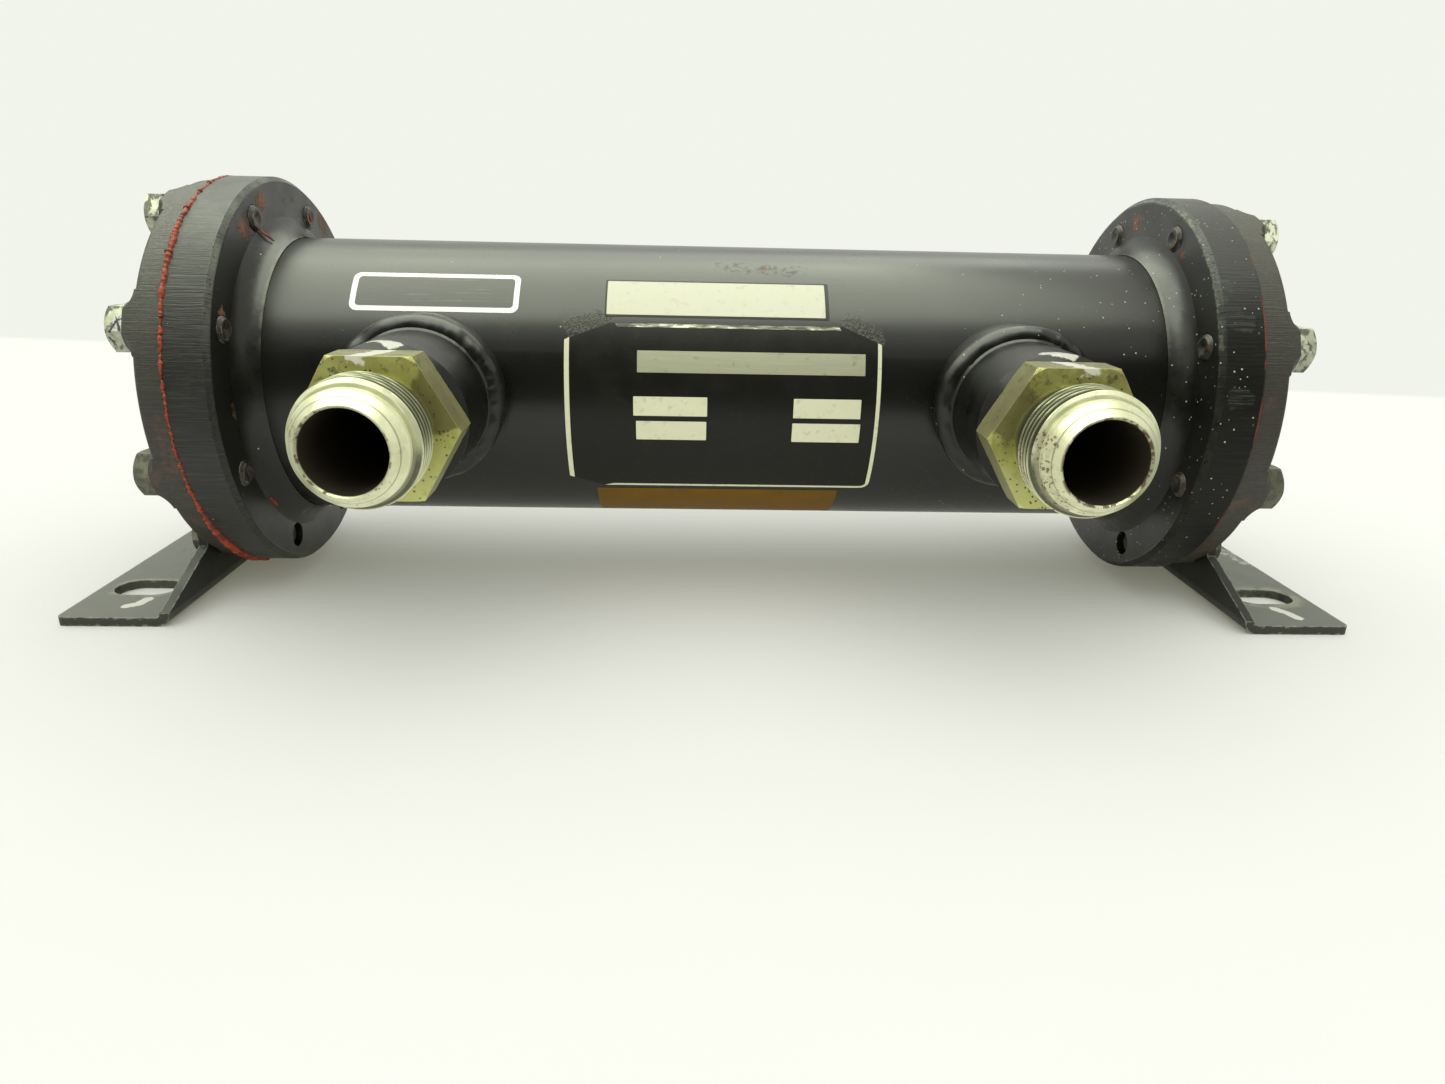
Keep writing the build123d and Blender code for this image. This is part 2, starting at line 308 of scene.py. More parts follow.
def mix(share, first, second):
    node = tree.nodes.new("ShaderNodeMix")
    node.data_type = "RGBA"
    put(node.inputs[0], share)
    put(node.inputs[6], first)
    put(node.inputs[7], second)
    return node.outputs[2]


def lay(colour, mask, share=1.0):
    """Lay a colour over what there is, where the mask is 1, by a share."""
    if share != 1.0:
        mask = times(mask, share)
    tree.colour = mix(mask, tree.colour, colour)


def ramp(value, low, high, to_low=0.0, to_high=1.0):
    """A smooth step from to_low to to_high as value goes from low to high."""
    node = tree.nodes.new("ShaderNodeMapRange")
    node.interpolation_type = "SMOOTHSTEP"
    for place, number in enumerate((value, low, high, to_low, to_high)):
        put(node.inputs[place], number)
    return node.outputs[0]


def past(value, base, low, high, to_low=0.0, to_high=1.0):
    """A ramp from low to high millimetres beyond a base that is in metres."""
    return ramp(value, base + low * MM, base + high * MM, to_low, to_high)


def rise(base, low, high, to_low=0.0, to_high=1.0):
    """A ramp from low to high millimetres above a base that is in metres."""
    return past(axis(2), base, low, high, to_low, to_high)


def texture(size, detail=3.0, place=None, roughness=0.55):
    """Noise whose largest lumps are about size across."""
    node = tree.nodes.new("ShaderNodeTexNoise")
    put(node.inputs["Vector"], tree.place if place is None else place)
    node.inputs["Scale"].default_value = 1 / (size * MM)
    node.inputs["Detail"].default_value = detail
    node.inputs["Roughness"].default_value = roughness
    return node.outputs[0]


def patches(size, detail, low, high, to_low=0.0, to_high=1.0):
    """Ragged patches of noise: the share covered falls as low and high rise."""
    return ramp(texture(size, detail), low, high, to_low, to_high)


def specks(spacing, radius, share):
    """Round specks of a random share of the cells of a spacing."""
    node = tree.nodes.new("ShaderNodeTexVoronoi")
    put(node.inputs["Vector"], tree.place)
    node.inputs["Scale"].default_value = 1 / (spacing * MM)
    chance = tree.nodes.new("ShaderNodeSeparateColor")
    put(chance.inputs[0], node.outputs["Color"])
    size = ramp(chance.outputs[1], 0.0, 1.0, 0.4 * radius / spacing, 1.3 * radius / spacing)
    inside = calc("LESS_THAN", node.outputs["Distance"], size)
    return times(inside, calc("LESS_THAN", chance.outputs[0], share))


def stretched(x, y, z):
    return vector("MULTIPLY", tree.place, (x, y, z))


def parts(point):
    """The x, y and z of a point or direction."""
    node = tree.nodes.new("ShaderNodeSeparateXYZ")
    put(node.inputs[0], point)
    return node.outputs


def axis(index):
    return parts(tree.place)[index]


def polar():
    """Place along the shell, angle round its axis in radians, and distance from it."""
    x, y, z = parts(tree.place)
    rise = minus(z, AXIS_HEIGHT)
    angle = calc("ARCTAN2", rise, times(y, -1))
    radius = calc("SQRT", plus(times(y, y), times(rise, rise)))
    return x, angle, radius


def tool_marks(x, angle, along, around, size):
    """Noise drawn out along the shell, like the marks of a saw or a lathe tool."""
    place = tree.nodes.new("ShaderNodeCombineXYZ")
    put(place.inputs[0], times(x, along))
    put(place.inputs[1], times(angle, around))
    return texture(size, 4, place.outputs[0], 0.7)


def frayed(reach, radius, full, ragged, size):
    """1 within a share of a radius and 0 outside it, with a ragged edge."""
    radius = radius * MM
    wave = times(minus(texture(size, 4), 0.5), 2 * ragged * radius)
    return ramp(plus(reach, wave), radius, full * radius)


def near(point, radius, ragged=0.5, size=2):
    """1 close to a point and 0 away from it, with a ragged edge."""
    return frayed(vector("DISTANCE", tree.place, point, 1), radius, 0.75, ragged, size)


def stroke(start, end, half_width, ragged=0.5, size=2, depth=1.0):
    """1 along a straight brush stroke and 0 away from it; a depth under 1 reaches further along Y."""
    flat = Vector((1, depth, 1))
    along = (Vector(end) - Vector(start)) * flat
    offset = vector("MULTIPLY", vector("SUBTRACT", tree.place, start), flat)
    share = calc("DIVIDE", vector("DOT_PRODUCT", offset, along, 1), along.length_squared, True)
    foot = vector("SCALE", tuple(along), share)
    return frayed(vector("DISTANCE", offset, foot, 1), half_width, 0.7, ragged, size)


def edges(radius, low=0.02, high=0.2):
    """1 on sharp edges, from a rounded normal that departs from the true one."""
    bevel = tree.nodes.new("ShaderNodeBevel")
    bevel.samples = 4
    bevel.inputs[0].default_value = radius * MM
    true = tree.nodes.new("ShaderNodeNewGeometry").outputs["Normal"]
    agree = vector("DOT_PRODUCT", bevel.outputs[0], true, 1)
    return ramp(invert(agree), low, high)


def bump(height, depth):
    """Add a relief, height 0 to 1 over a depth."""
    layer = times(height, depth)
    tree.height = layer if tree.height is None else plus(tree.height, layer)


def finish(roughness, metallic=0.0, specular=0.5):
    put(tree.shader.inputs["Base Color"], tree.colour)
    put(tree.shader.inputs["Roughness"], roughness)
    put(tree.shader.inputs["Metallic"], metallic)
    put(tree.shader.inputs["Specular IOR Level"], specular)
    if tree.height is not None:
        node = tree.nodes.new("ShaderNodeBump")
        node.inputs["Strength"].default_value = 1.0
        node.inputs["Distance"].default_value = MM
        put(node.inputs["Height"], tree.height)
        tree.links.new(node.outputs[0], tree.shader.inputs["Normal"])
    return tree.material


def camera_axes():
    """The camera's right, up and forward directions."""
    forward = Vector((math.sin(CAMERA_YAW) * math.cos(CAMERA_PITCH),
                      math.cos(CAMERA_YAW) * math.cos(CAMERA_PITCH), -math.sin(CAMERA_PITCH)))
    level = Vector((math.cos(CAMERA_YAW), -math.sin(CAMERA_YAW), 0))
    above = level.cross(forward)
    right = math.cos(CAMERA_ROLL) * level + math.sin(CAMERA_ROLL) * above
    return right, right.cross(forward), forward


def sight(u, v):
    """Direction from the camera through a pixel of the photograph."""
    right, up, forward = camera_axes()
    focal = CAMERA_LENS / SENSOR_WIDTH * PHOTO_WIDTH
    return forward + (u - PHOTO_WIDTH / 2) / focal * right - (v - PHOTO_HEIGHT / 2) / focal * up


def on_plane(pixel, axis, value):
    """The point that a pixel shows on the plane where one coordinate has a value."""
    line = sight(pixel[0], pixel[1])
    return CAMERA_PLACE + line * ((value - CAMERA_PLACE[axis]) / line[axis])


def on_round(pixel, radius):
    """The nearest point that a pixel shows on a cylinder about the shell's axis."""
    line = sight(pixel[0], pixel[1])
    flat = Vector((line.y, line.z))
    start = Vector((CAMERA_PLACE.y, CAMERA_PLACE.z - AXIS_HEIGHT))
    half = start.dot(flat) / flat.length_squared
    reach = half * half - (start.length_squared - radius * radius) / flat.length_squared
    return CAMERA_PLACE + line * (-half - math.sqrt(max(0.0, reach)))


def at(x, angle, radius):
    """A point at x millimetres, angle degrees above -Y and radius metres from the axis."""
    turn = math.radians(angle)
    return Vector((x * MM, -radius * math.cos(turn), AXIS_HEIGHT + radius * math.sin(turn)))


def clouded(name, size, detail, low, high):
    """Start a material whose colour drifts between two tones, and give the noise it follows."""
    begin(name)
    cloud = texture(size, detail)
    tree.colour = mix(cloud, low, high)
    return cloud


def shell_paint():
    """Gloss black paint with dust, fine scratches and a scuff over the cream label."""
    cloud = clouded("shell_black", 30, 4, (0.0048, 0.0053, 0.0038), (0.0088, 0.0094, 0.007))
    right_end = ramp(axis(0), 0.06, 0.14, 0.03, 0.6)
    dust = specks(2.0, 0.21, right_end)
    dark_dust = specks(5.5, 0.36, 0.42)
    start, end = [on_round(pixel, SHELL_RADIUS) for pixel in SHELL_SCUFF]
    scuff = times(stroke(start, end, 3.0, 1.2, 3), ramp(texture(2.4, 6, None, 0.7), 0.47, 0.6))
    spot = near(on_round(SHELL_SPOT, SHELL_RADIUS), 1.3, 0.9, 1)
    glue = times(most(*[near(on_round(pixel, SHELL_RADIUS), 4.2, 0.7, 2) for pixel in GLUE_MARKS]),
                 patches(0.8, 4, 0.46, 0.6))
    scratch = ramp(texture(9, 4, stretched(0.08, 1, 1)), 0.68, 0.74)
    lay((0.055, 0.045, 0.036), scuff, 0.45)
    lay((0.3, 0.22, 0.16), spot, 0.8)
    lay((0.085, 0.082, 0.062), glue, 0.8)
    lay((0.004, 0.004, 0.004), dark_dust)
    lay(DUST, dust)
    rough = plus(ramp(cloud, 0.3, 0.7, 0.25, 0.32), times(scratch, 0.08), times(scuff, 0.25),
                 times(most(dust, glue, spot), 0.4))
    bump(glue, 0.1)
    bump(texture(0.7, 2), 0.006)
    bump(texture(8, 2), 0.012)
    bump(most(dust, dark_dust), 0.08)
    return finish(rough, specular=0.52)


def sheet_paint(name, side):
    """Black paint over machined plate: axial tool marks on the rim, rust and sealant smears, and painted
    highlights and reflections on the edge and rim.
    """
    cloud = clouded(name, 12, 5, (0.0065, 0.0067, 0.0052), (0.015, 0.0155, 0.0122))
    x, angle, radius = polar()
    rim = past(radius, SHEET_RADIUS, -2.0, -1.2)
    marks = tool_marks(x, angle, 18.0, 26.0, 340)
    worn = times(rim, ramp(marks, 0.45, 0.8))
    lay((0.038, 0.04, 0.031) if side < 0 else (0.02, 0.021, 0.016), worn)
    reach = calc("ABSOLUTE", x)
    corner = times(past(radius, SHEET_RADIUS, -1.7, -1.1), past(reach, SHEET_FACE, 2.0, 1.2))
    # Pale edge line: chipped paint, with a painted highlight that grows towards the top on the left sheet
    edge = times(corner, patches(8, 8, 0.36, 0.6), ramp(angle, 0.1, 0.7, 0.1, 0.7 if side < 0 else 0.1))
    pits = times(corner, patches(1.3, 3, 0.62, 0.66))
    face = side * SHEET_FACE
    rust_marks = LEFT_RUST if side < 0 else RIGHT_RUST
    orange_marks = LEFT_ORANGE if side < 0 else RIGHT_ORANGE
    on_face = past(reach, SHEET_FACE, 1.2, 0.6)
    rust = times(most(*[near(on_plane(mark, 0, face), mark[2], 1.1) for mark in rust_marks]),
                 patches(3.0, 5, 0.36, 0.6))
    orange = times(most(*[near(on_plane(mark, 0, face), mark[2], 1.3) for mark in orange_marks]),
                   patches(1.8, 5, 0.36, 0.6))
    smears = times(most(rust, orange), on_face)
    lay(RUST, rust, 0.6)
    lay(ORANGE, orange, 0.8)
    lay((0.13, 0.14, 0.115), edge)
    lay((0.008, 0.008, 0.007), pits)
    bump(pits, -0.25)
    dust = specks(1.9, 0.22, 0.5 if side > 0 else 0.03)
    lay(DUST, dust)
    rough = plus(ramp(cloud, 0.3, 0.7, 0.3, 0.44), times(smears, 0.35), times(rim, 0.08))
    shine = 0.5
    if side > 0:
        shine = minus(0.5, times(ramp(angle, 0.75, 0.35), times(rim, 0.36)))
        # Pale line along the right sheet's front edge: a scrape, with a painted edge highlight laid in
        # its colour
        band = past(radius, SHEET_RADIUS, -2.4, -1.4)
        wide = patches(9, 4, 0.42, 0.66, -0.1 * MM, 0.9 * MM)
        inner = past(minus(x, wide), SHEET_FACE, 0.8, 0)
        front = ramp(angle, 0.1, 0.55)
        scrape_and_highlight = times(band, inner, front, ramp(texture(2.0, 6, None, 0.65), 0.42, 0.58))
        lay((0.12, 0.14, 0.105), scrape_and_highlight)
        # Rubbed patches on the rim, with their shine painted in as a pale reflection
        rubbed = times(
            most(*[near(on_round(pixel, SHEET_RADIUS), 4.5, 1.2, 5) for pixel in RIGHT_RUBBED_SHEEN]),
            ramp(marks, 0.44, 0.62))
        lay((0.05, 0.056, 0.046), times(rubbed, rim))
        bump(scrape_and_highlight, -0.1)
    bump(times(rim, marks), 0.26)
    bump(texture(0.9, 3), 0.015)
    bump(smears, 0.1)
    return finish(rough, specular=shine)


def weld_paint():
    """Black paint over weld metal, a little rougher than the shell's."""
    cloud = clouded("weld_black", 5, 4, (0.0055, 0.0057, 0.0046), (0.0125, 0.013, 0.0105))
    dust = specks(1.9, 0.21, ramp(axis(0), 0.05, 0.14, 0.02, 0.5))
    lay(DUST, dust)
    reach = calc("ABSOLUTE", axis(0))
    # Painted highlight: a pale line along the upper toe of the sheet weld; the brown crumbs in it are
    # rust
    toe = times(past(reach, SHEET_TOE, 1.3, 0.3), past(reach, SHEET_TOE, -0.2, -0.1),
                rise(AXIS_HEIGHT, 12, 24), patches(5, 5, 0.4, 0.62))
    lay((0.11, 0.12, 0.085), toe, 0.8)
    crumbs = times(toe, patches(1.6, 3, 0.56, 0.62))
    lay((0.1, 0.05, 0.026), crumbs)
    bump(texture(1.6, 3), 0.04)
    bump(texture(8, 2), 0.1)
    return finish(ramp(cloud, 0.3, 0.7, 0.27, 0.38))


def cover_paint():
    """Thin dark paint over a cast cover with a sawn rim and traces of rust."""
    clouded("cover_iron", 16, 5, (0.016, 0.015, 0.0115), (0.034, 0.031, 0.023))
    x, angle, radius = polar()
    grain = texture(0.9, 4)
    rim = past(radius, RIM_RADIUS, -0.9, -0.3)
    marks = tool_marks(x, angle, 10.0, 30.0, 240)
    lay((0.052, 0.048, 0.035), times(rim, ramp(marks, 0.4, 0.75)))
    lay((0.038, 0.031, 0.021), ramp(x, 0.05, 0.1, 0.0, 0.45))
    warm = patches(9, 5, 0.56, 0.72)
    haze = times(most(*[near(on_round(pixel, RIM_RADIUS), 4, 1.0, 4) for pixel in COVER_HAZE]),
                 patches(2.2, 5, 0.38, 0.62))
    lay((0.12, 0.055, 0.026), warm, 0.45)
    lay((0.15, 0.055, 0.024), haze, 0.35)
    rough = ramp(grain, 0.3, 0.7, 0.46, 0.62)
    bump(times(rim, marks), 0.22)
    bump(grain, 0.06)
    bump(texture(4, 2), 0.12)
    return finish(rough, specular=0.6)


def foot_strokes(pixels, half_width, ragged, size):
    """Brush strokes on the top of a foot, from each pixel to the next."""
    points = [on_plane(pixel, 2, foot_low.z + FOOT_THICKNESS) for pixel in pixels]
    return [stroke(start, end, half_width, ragged, size) for start, end in zip(points, points[1:])]


def foot_paint():
    """Satin dark paint on bent plate, with bright chipped edges and white paint marks."""
    cloud = clouded("foot_grey", 10, 5, (0.092, 0.099, 0.08), (0.147, 0.156, 0.126))
    # Painted shade: the web and every face that does not look up are laid nearly black
    web = rise(0, 3.3, 4.5)
    facing = tree.nodes.new("ShaderNodeNewGeometry").outputs["True Normal"]
    upright = ramp(parts(facing)[2], 0.7, 0.3, 0.0, 0.8)
    web = most(web, upright)
    lay((0.014, 0.015, 0.011), web, 0.92)
    pits = specks(6.0, 0.55, 0.45)
    lay((0.012, 0.012, 0.011), pits, 0.9)
    half = (SLOT_HALF[0] - SLOT_HALF[1]) * MM
    rings = []
    for side, width in ((-1, 3.0), (1, 4.4)):
        for y in (-SLOT_PLACE.y, SLOT_PLACE.y):
            ends = [Vector((side * SLOT_PLACE.x + part * half, y, SLOT_PLACE.z)) for part in (-1, 1)]
            rings.append(stroke(*ends, SLOT_HALF[1] + width, 0.12, 4))
    rubbed = times(most(*rings), patches(6, 5, 0.4, 0.56), invert(upright))
    lay((0.36, 0.35, 0.27), rubbed, 0.6)
    chips = times(edges(0.7), patches(2.5, 5, 0.38, 0.54))
    low_wear = times(edges(1.8), rise(0, 6, 4))
    chips = most(chips, times(low_wear, patches(1.6, 5, 0.55, 0.64)))
    lay((0.42, 0.43, 0.36), chips)
    white = most(*foot_strokes(LEFT_FOOT_MARK, 2.0, 0.4, 1), *foot_strokes(RIGHT_FOOT_MARK, 2.0, 0.4, 1))
    mist = times(most(*foot_strokes(RIGHT_FOOT_MIST, 3.4, 0.9, 2)), patches(3, 5, 0.42, 0.58))
    lay((0.62, 0.62, 0.56), mist, 0.65)
    lay(PAINT_WHITE, white, 0.9)
    bump(texture(1.3, 3), 0.03)
    bump(pits, -0.06)
    bump(chips, -0.08)
    rough = ramp(cloud, 0.3, 0.7, 0.36, 0.5)
    return finish(rough, specular=minus(0.5, times(web, 0.25)))


def sealant_red():
    """Red silicone, lumpy and a little glossy, dirty in places."""
    begin("sealant_red")
    cloud = texture(4, 4)
    tree.colour = mix(ramp(cloud, 0.32, 0.6), (0.13, 0.013, 0.004), (0.37, 0.05, 0.014))
    bump(texture(0.8, 3), 0.12)
    return finish(ramp(cloud, 0.3, 0.7, 0.4, 0.6), specular=0.4)


def gasket_edge():
    """Dark gasket edge with patches of red sealant."""
    begin("gasket_dark")
    patch = patches(11, 4, 0.46, 0.56)
    tree.colour = mix(patch, (0.012, 0.011, 0.009), (0.19, 0.03, 0.013))
    bump(texture(0.8, 3), 0.08)
    return finish(ramp(patch, 0.0, 1.0, 0.5, 0.65), specular=0.4)


def bolt_plating():
    """Dull plated heads with dark stains; the tips inside are painted over with the sheet."""
    begin("bolt_plated")
    cloud = texture(5, 5)
    stain = ramp(texture(2.2, 6, stretched(1, 1, 0.55), 0.65), 0.48, 0.57)
    tree.colour = mix(ramp(cloud, 0.35, 0.65), (0.27, 0.285, 0.2), (0.56, 0.59, 0.46))
    # Painted highlight: the upper bolts on the right are laid pale
    right = times(ramp(axis(0), 0, MM), rise(AXIS_HEIGHT, 20, 36, 0.0, 0.8))
    lay((0.8, 0.83, 0.66), right)
    # Painted shade: the bolts below the axis are laid darker
    low = rise(AXIS_HEIGHT, 14, -18, 0.0, 0.86)
    lay((0.09, 0.09, 0.06), low)
    lay((0.055, 0.052, 0.036), stain, 0.85)
    corner = times(edges(0.5), patches(1.5, 3, 0.35, 0.55))
    lay((0.075, 0.075, 0.055), corner, 0.75)
    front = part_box("left_cover_bolt_2")[0].y
    strokes = []
    for pixels in INK_STROKES:
        points = [on_plane(pixel, 1, front) for pixel in pixels]
        strokes.append(stroke(*points, 0.4, 0.3, 1, depth=0.15))
    head = past(axis(0), -COVER_FACE, -9, -10)
    lay((0.045, 0.022, 0.095), times(most(*strokes), head))
    inside = past(calc("ABSOLUTE", axis(0)), JOINT_FACE, 0, -2)
    painted = mix(patches(1.5, 4, 0.5, 0.6), (0.018, 0.018, 0.014), (0.075, 0.045, 0.03))
    worn = times(edges(0.4, 0.02, 0.12), patches(2.5, 4, 0.44, 0.56))
    painted = mix(worn, painted, (0.46, 0.45, 0.34))
    lay(painted, inside)
    bump(texture(0.8, 3), 0.03)
    metal = times(ramp(stain, 0.0, 1.0, 0.55, 0.1), invert(inside))
    return finish(ramp(cloud, 0.3, 0.7, 0.36, 0.55), metal)


def fitting_plating(side):
    """Yellow zinc on the hexagon, bright turned metal on the thread and nose, stains and specks."""
    begin("fitting_left" if side < 0 else "fitting_right")
    y = axis(1)
    centre = Vector((side * PORT_X, 0, PORT_Z))
    reach = vector("DISTANCE", vector("MULTIPLY", tree.place, (1, 0, 1)), centre, 1)
    cloud = texture(6, 5)
    # Painted light: the left fitting's zinc is laid lighter than the right's
    zinc_low = (0.41, 0.405, 0.1) if side < 0 else (0.33, 0.325, 0.077)
    hexagon = mix(ramp(cloud, 0.3, 0.7), zinc_low, (0.54, 0.55, 0.175))
    # Painted light: the lower half of the hexagon is laid lighter
    hexagon = mix(rise(PORT_Z, 0, -16, 0.0, 0.85), hexagon, (0.66, 0.68, 0.25))
    dull = times(rise(PORT_Z, 0, 20), patches(5, 5, 0.36, 0.56))
    hexagon = mix(times(dull, 0.2 if side < 0 else 0.55), hexagon, (0.235, 0.205, 0.085))
    low = -(HEX_LOW + HEX_THICKNESS)
    inner = near(Vector((side * (PORT_X - 16 * MM), low, PORT_Z + 7 * MM)), 9, 0.5, 5)
    hexagon = mix(times(inner, 0.75), hexagon, (0.125, 0.11, 0.04))
    bright = mix(ramp(cloud, 0.35, 0.7), (0.68, 0.7, 0.45), (0.86, 0.87, 0.62))
    nose = past(y, low, -0.2, -2.5)
    # Painted shade: the threaded part is laid darker, most on top
    threaded = past(y, -NECK_END, 0.9, 1.5)
    upper = rise(PORT_Z, -6, 5)
    bright = mix(times(threaded, ramp(upper, 0.0, 1.0, 0.15, 0.85)), bright, (0.25, 0.265, 0.155))
    # Painted shade: the nose's outer side is laid darker, more on the right fitting
    outer_side = times(past(times(axis(0), side), PORT_X, 2, 11), invert(rise(PORT_Z, 4, 12)))
    bright = mix(times(outer_side, 0.75 if side < 0 else 0.9), bright, (0.36, 0.39, 0.225))
    facets = past(y, low, 0.5, 1.2)
    hexagon = mix(times(facets, 0.8), hexagon, (0.19, 0.178, 0.088))
    tree.colour = mix(nose, hexagon, bright)
    # Painted shade in the thread's grooves
    groove = ramp(reach, THREAD_RADIUS - 0.05 * THREAD_DEPTH, THREAD_RADIUS - 0.38 * THREAD_DEPTH)
    thread_end = past(y, -NECK_END, -0.6, 0.2)
    thread = times(nose, groove, ramp(upper, 0.0, 1.0, thread_end, threaded))
    lay((0.045, 0.048, 0.026), thread, 0.92)
    stain = patches(3.5, 5, 0.56, 0.68)
    lay((0.26, 0.25, 0.11), stain, 0.25)
    busy = times(patches(8, 2, 0.4, 0.6), most(invert(nose), rise(PORT_Z, 4, -10)))
    dots = times(specks(1.1, 0.26, 0.55), busy)
    rusty = 0.55 if side < 0 else 0.44
    rust_spots = patches(2.0, 5, rusty, rusty + 0.07)
    lip = times(past(reach, BORE_RADIUS, 1.0, 0.3), rust_spots)
    marks = LEFT_FITTING_SPECKS if side < 0 else RIGHT_FITTING_SPECKS
    spotted = most(*[near(on_plane(pixel, 1, -depth * MM), 3.8, 0.9) for pixel, depth in marks])
    flecks = times(patches(0.9, 4, 0.55, 0.61), spotted)
    lay((0.04, 0.038, 0.018), dots, 0.85)
    lay((0.095, 0.034, 0.017), lip, 0.9)
    lay((0.36, 0.3, 0.16), spotted, 0.25)
    lay((0.09, 0.055, 0.024), flecks, 0.85)
    edge = times(edges(0.5), invert(nose))
    lay((0.58, 0.57, 0.36), edge, 0.5)
    blotch = times(ramp(texture(2.8, 6, None, 0.68), 0.53, 0.62), rise(PORT_Z, 2, 15), invert(nose))
    lay((0.06, 0.056, 0.024), blotch, 0.55)
    flat_top = PORT_Z + HEX_FLATS / 2
    tick = stroke((side * (PORT_X - 1.5 * MM), -(PORT_FACE + 0.5 * MM), flat_top),
                  (side * (PORT_X + 3.0 * MM), low, flat_top), 2.8, 0.9)
    lay(PAINT_WHITE, tick, 0.8)
    inside = times(past(reach, BORE_RADIUS, 0.3, 0.05), past(y, -FITTING_TIP, 0.2, 1.0))
    lay((0.034, 0.026, 0.014), inside)
    ring = times(past(calc("ABSOLUTE", minus(reach, RING_RADIUS)), 0, 0.16, 0.04),
                 past(y, -NECK_END, -2.8, -3.2))
    lay((0.3, 0.3, 0.18), ring, 0.6)
    bump(texture(0.3, 2, stretched(0.05, 1, 0.05)), 0.012)
    bump(dots, -0.05)
    bump(ring, -0.1)
    covered = most(dots, flecks, tick, inside, times(lip, 0.8))
    metal = times(ramp(covered, 0.0, 1.0, 1.0, 0.1), ramp(nose, 0.0, 1.0, 0.35, 0.42))
    neck = times(past(y, -NECK_END, -0.8, -1.2), past(reach, NECK_RADIUS, -0.4, -0.1))
    metal = times(metal, ramp(neck, 0.0, 1.0, 1.0, 0.1))
    rough = plus(minus(0.44, times(nose, 0.1)), times(inside, 0.3))
    return finish(rough, metal)


def boss_paint():
    """Black paint on the port bosses, with a dab of white paint on top."""
    cloud = clouded("boss_black", 9, 4, (0.0035, 0.0037, 0.003), (0.0075, 0.008, 0.0062))
    top = PORT_Z + PORT_BOSS_RADIUS
    marks = [stroke((side * PORT_X - 4 * MM, -(PORT_FACE - 4.0 * MM), top),
                    (side * PORT_X + 3 * MM, -(PORT_FACE - 1.0 * MM), top), 1.9, 0.8)
             for side in (-1, 1)]
    lay(PAINT_WHITE, most(*marks), 0.8)
    edge = times(edges(0.6), patches(2, 4, 0.5, 0.62))
    lay((0.12, 0.12, 0.1), edge)
    bump(texture(1.0, 3), 0.02)
    return finish(ramp(cloud, 0.3, 0.7, 0.27, 0.38), specular=0.32)


def inner_metal(name, colour_low, colour_high):
    """Dull metal that shows only through the bores."""
    cloud = clouded(name, 8, 4, colour_low, colour_high)
    bump(texture(1.0, 3), 0.02)
    return finish(ramp(cloud, 0.3, 0.7, 0.4, 0.6), 0.8)


def printed(name, low, high, roughness, specular, dirt):
    """A printed or painted film with slight dirt and wear."""
    cloud = clouded(name, 7, 5, low, high)
    grime = patches(2.4, 5, 0.56, 0.7)
    lay((0.09, 0.08, 0.055), times(grime, dirt))
    bump(texture(0.5, 2), 0.004)
    return finish(ramp(cloud, 0.3, 0.7, roughness - 0.05, roughness + 0.05), specular=specular)


def brushed_silver():
    """Bare aluminium of the rating plate's fields and border, brushed along the shell."""
    begin("plate_silver")
    brush = texture(0.5, 4, stretched(0.04, 1, 1), 0.7)
    tree.colour = mix(brush, (0.37, 0.38, 0.26), (0.55, 0.56, 0.41))
    grime = times(patches(3, 5, 0.6, 0.72), 0.35)
    lay((0.14, 0.13, 0.09), grime)
    bump(brush, 0.006)
    return finish(0.48, 0.25)


def worn_silver():
    """The plate's top border, rubbed to bright dashes with grey dirt between them."""
    begin("plate_silver_worn")
    dashes = texture(2.0, 4, stretched(0.22, 1, 1), 0.7)
    tree.colour = mix(ramp(dashes, 0.42, 0.52), (0.07, 0.07, 0.055), (0.3, 0.31, 0.23))
    lay((0.8, 0.82, 0.72), ramp(dashes, 0.53, 0.58))
    bump(dashes, 0.03)
    return finish(0.5, 0.1)


def streaked_field():
    """Dark film with faint streaks along the shell, where the print has rubbed thin."""
    begin("label_streaked")
    streak = texture(1.1, 4, stretched(0.03, 1, 1), 0.7)
    worn = times(ramp(streak, 0.55, 0.75), patches(14, 3, 0.35, 0.6))
    tree.colour = mix(worn, (0.014, 0.014, 0.012), (0.16, 0.16, 0.14))
    bump(streak, 0.006)
    return finish(ramp(streak, 0.3, 0.7, 0.26, 0.34))


def add_object(name, data):
    """Make data into an object of the scene."""
    item = bpy.data.objects.new(name, data)
    bpy.context.scene.collection.objects.link(item)
    return item


def new_piece(name, mesh, finish, smooth):
    """Make a mesh into a piece of the object that rides on the part."""
    piece = add_object(name, mesh)
    mesh.materials.append(materials[finish])
    mesh.shade_smooth()
    mesh.set_sharp_from_angle(angle=math.radians(smooth))
    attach(piece, "root")
    return piece


def lofted(name, rings, ends=True):
    """A mesh through closed rings of points; the last ring joins the first unless it has ends."""
    count = len(rings[0])
    points = [point for ring in rings for point in ring]
    faces = []
    for row in range(len(rings) if not ends else len(rings) - 1):
        here = row * count
        there = (row + 1) % len(rings) * count
        for n in range(count):
            after = (n + 1) % count
            faces.append((here + n, here + after, there + after, there + n))
    if ends:
        faces.append(tuple(reversed(range(count))))
        faces.append(tuple(range(len(points) - count, len(points))))
    mesh = bpy.data.meshes.new(name)
    mesh.from_pydata(points, [], faces)
    tidy = bmesh.new()
    tidy.from_mesh(mesh)
    bmesh.ops.recalc_face_normals(tidy, faces=tidy.faces)
    tidy.to_mesh(mesh)
    tidy.free()
    return mesh


def hexagon_radius(turn):
    """Distance from the axis to a hexagon's side, flats at the top and bottom."""
    return HEX_FLATS / 2 / math.cos(math.radians(turn % 60 - 30))


